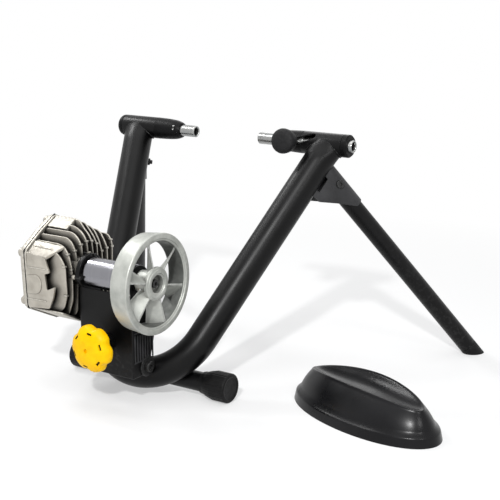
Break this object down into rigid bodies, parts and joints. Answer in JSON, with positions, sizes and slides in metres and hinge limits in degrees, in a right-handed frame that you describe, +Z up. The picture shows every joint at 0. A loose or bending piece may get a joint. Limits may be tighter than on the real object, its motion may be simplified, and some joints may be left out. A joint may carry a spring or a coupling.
{
  "type": "fluid bike trainer",
  "caption": "Folding bicycle trainer: a bent-tube stand clamps the rear axle while a roller drives a fluid brake and a flywheel, with a front wheel block beside it.",
  "frame": {"origin": "on the floor, at the middle of the floor space that the trainer and its wheel block cover", "axes": "+X along the wheel axle towards the flywheel's side, +Y forward along the bicycle, +Z up"},
  "size_m": [0.912, 0.6247, 0.4181],
  "materials": {
    "frame_paint": "satin powder coat",
    "black_plastic": "moulded, satin",
    "grip": "soft, matt",
    "rubber": "matt",
    "chrome": "polished",
    "zinc_steel": "zinc plated",
    "roller_steel": "turned and polished",
    "cast_alloy": "die cast, matt",
    "flywheel_metal": "silver coated casting",
    "yellow_plastic": "moulded"
  },
  "bodies": {
    "frame": {"main_tube": "frame_paint", "head_tube_left": "frame_paint", "head_tube_right": "frame_paint", "head_cap_left": "black_plastic", "head_bushing_right": "black_plastic", "nose_left": "black_plastic", "nose_right": "black_plastic", "cone_left": "chrome", "set_screw_1": "zinc_steel", "set_screw_2": "zinc_steel", "foot_crossbar": "frame_paint", "foot_cap_left": "rubber", "foot_cap_right": "rubber", "left_leg_bracket": "frame_paint", "right_leg_bracket": "frame_paint", "left_hinge_bolt": "zinc_steel", "right_hinge_bolt": "zinc_steel", "left_hinge_nut": "zinc_steel", "right_hinge_nut": "zinc_steel", "pivot_lug_left": "frame_paint", "pivot_lug_right": "frame_paint", "pivot_sleeve": "frame_paint"},
    "clamp": {"clamp_rod": "chrome"},
    "clamp_lever": {"lever_collar": "zinc_steel", "lever_shank": "zinc_steel", "lever_ball": "grip"},
    "left_leg": {"left_leg_tube": "frame_paint", "left_leg_foot": "rubber"},
    "right_leg": {"right_leg_tube": "frame_paint", "right_leg_foot": "rubber"},
    "resistance_unit": {"yoke": "frame_paint", "fluid_housing": "cast_alloy", "housing_cover": "cast_alloy", "housing_gasket": "rubber", "shaft_seal": "rubber", "bearing_left": "zinc_steel", "bearing_right": "zinc_steel", "cover_screw_1": "zinc_steel", "cover_screw_2": "zinc_steel", "cover_screw_3": "zinc_steel", "cover_screw_4": "zinc_steel", "cover_screw_5": "zinc_steel", "cover_screw_6": "zinc_steel", "housing_bolt_1": "zinc_steel", "housing_bolt_2": "zinc_steel", "housing_bolt_3": "zinc_steel", "pivot_bolt": "zinc_steel", "pivot_nut": "zinc_steel", "pivot_washer": "zinc_steel"},
    "tension_screw": {"tension_knob": "yellow_plastic", "tension_stud": "zinc_steel"},
    "trunnion": {"tension_trunnion": "zinc_steel"},
    "rotor": {"rotor_shaft": "zinc_steel", "roller": "roller_steel", "flywheel": "flywheel_metal", "flywheel_bolt": "zinc_steel", "impeller": "cast_alloy"},
    "wheel_block": {"front_wheel_block": "rubber"}
  },
  "joints": [
    {"name": "clamp_slide", "type": "slide", "parent": "frame", "child": "clamp", "axis": [1, 0, 0], "range_m": [0, 0.03]},
    {"name": "lever_turn", "type": "hinge", "parent": "clamp", "child": "clamp_lever", "pos_m": [-0.053, 0.084, 0.389], "axis": [-1, 0, 0], "range_deg": [0, 40.05]},
    {"name": "left_leg_fold", "type": "hinge", "parent": "frame", "child": "left_leg", "pos_m": [-0.26376, 0.08578, 0.32392], "axis": [-0.8418, -0.5267, 0.1183], "range_deg": [0, 72]},
    {"name": "right_leg_fold", "type": "hinge", "parent": "frame", "child": "right_leg", "pos_m": [0.15776, 0.08578, 0.32392], "axis": [-0.8418, 0.5267, -0.1183], "range_deg": [0, 72]},
    {"name": "unit_tilt", "type": "hinge", "parent": "frame", "child": "resistance_unit", "pos_m": [-0.053, -0.22, 0.061], "axis": [-1, 0, 0], "range_deg": [0, 5.58]},
    {"name": "knob_turn", "type": "hinge", "parent": "resistance_unit", "child": "tension_screw", "pos_m": [-0.053, -0.253, 0.102], "axis": [0, 1, 0], "range_deg": [0, 720]},
    {"name": "trunnion_turn", "type": "hinge", "parent": "frame", "child": "trunnion", "pos_m": [-0.053, -0.22, 0.102], "axis": [-1, 0, 0], "range_deg": [0, 5.6]},
    {"name": "rotor_spin", "type": "hinge", "parent": "resistance_unit", "child": "rotor", "pos_m": [-0.053, -0.2324, 0.2039], "axis": [1, 0, 0], "continuous": true},
    {"name": "block_slide", "type": "slide", "parent": "frame", "child": "wheel_block", "axis": [1, 0, 0], "range_m": [0, 0.3]}
  ],
  "couplings": [
    {"joint": "lever_turn", "follows": "clamp_slide", "rad_per_m": 23.271},
    {"joint": "knob_turn", "follows": "unit_tilt", "ratio": 128.9},
    {"joint": "trunnion_turn", "follows": "unit_tilt", "ratio": 1}
  ]
}
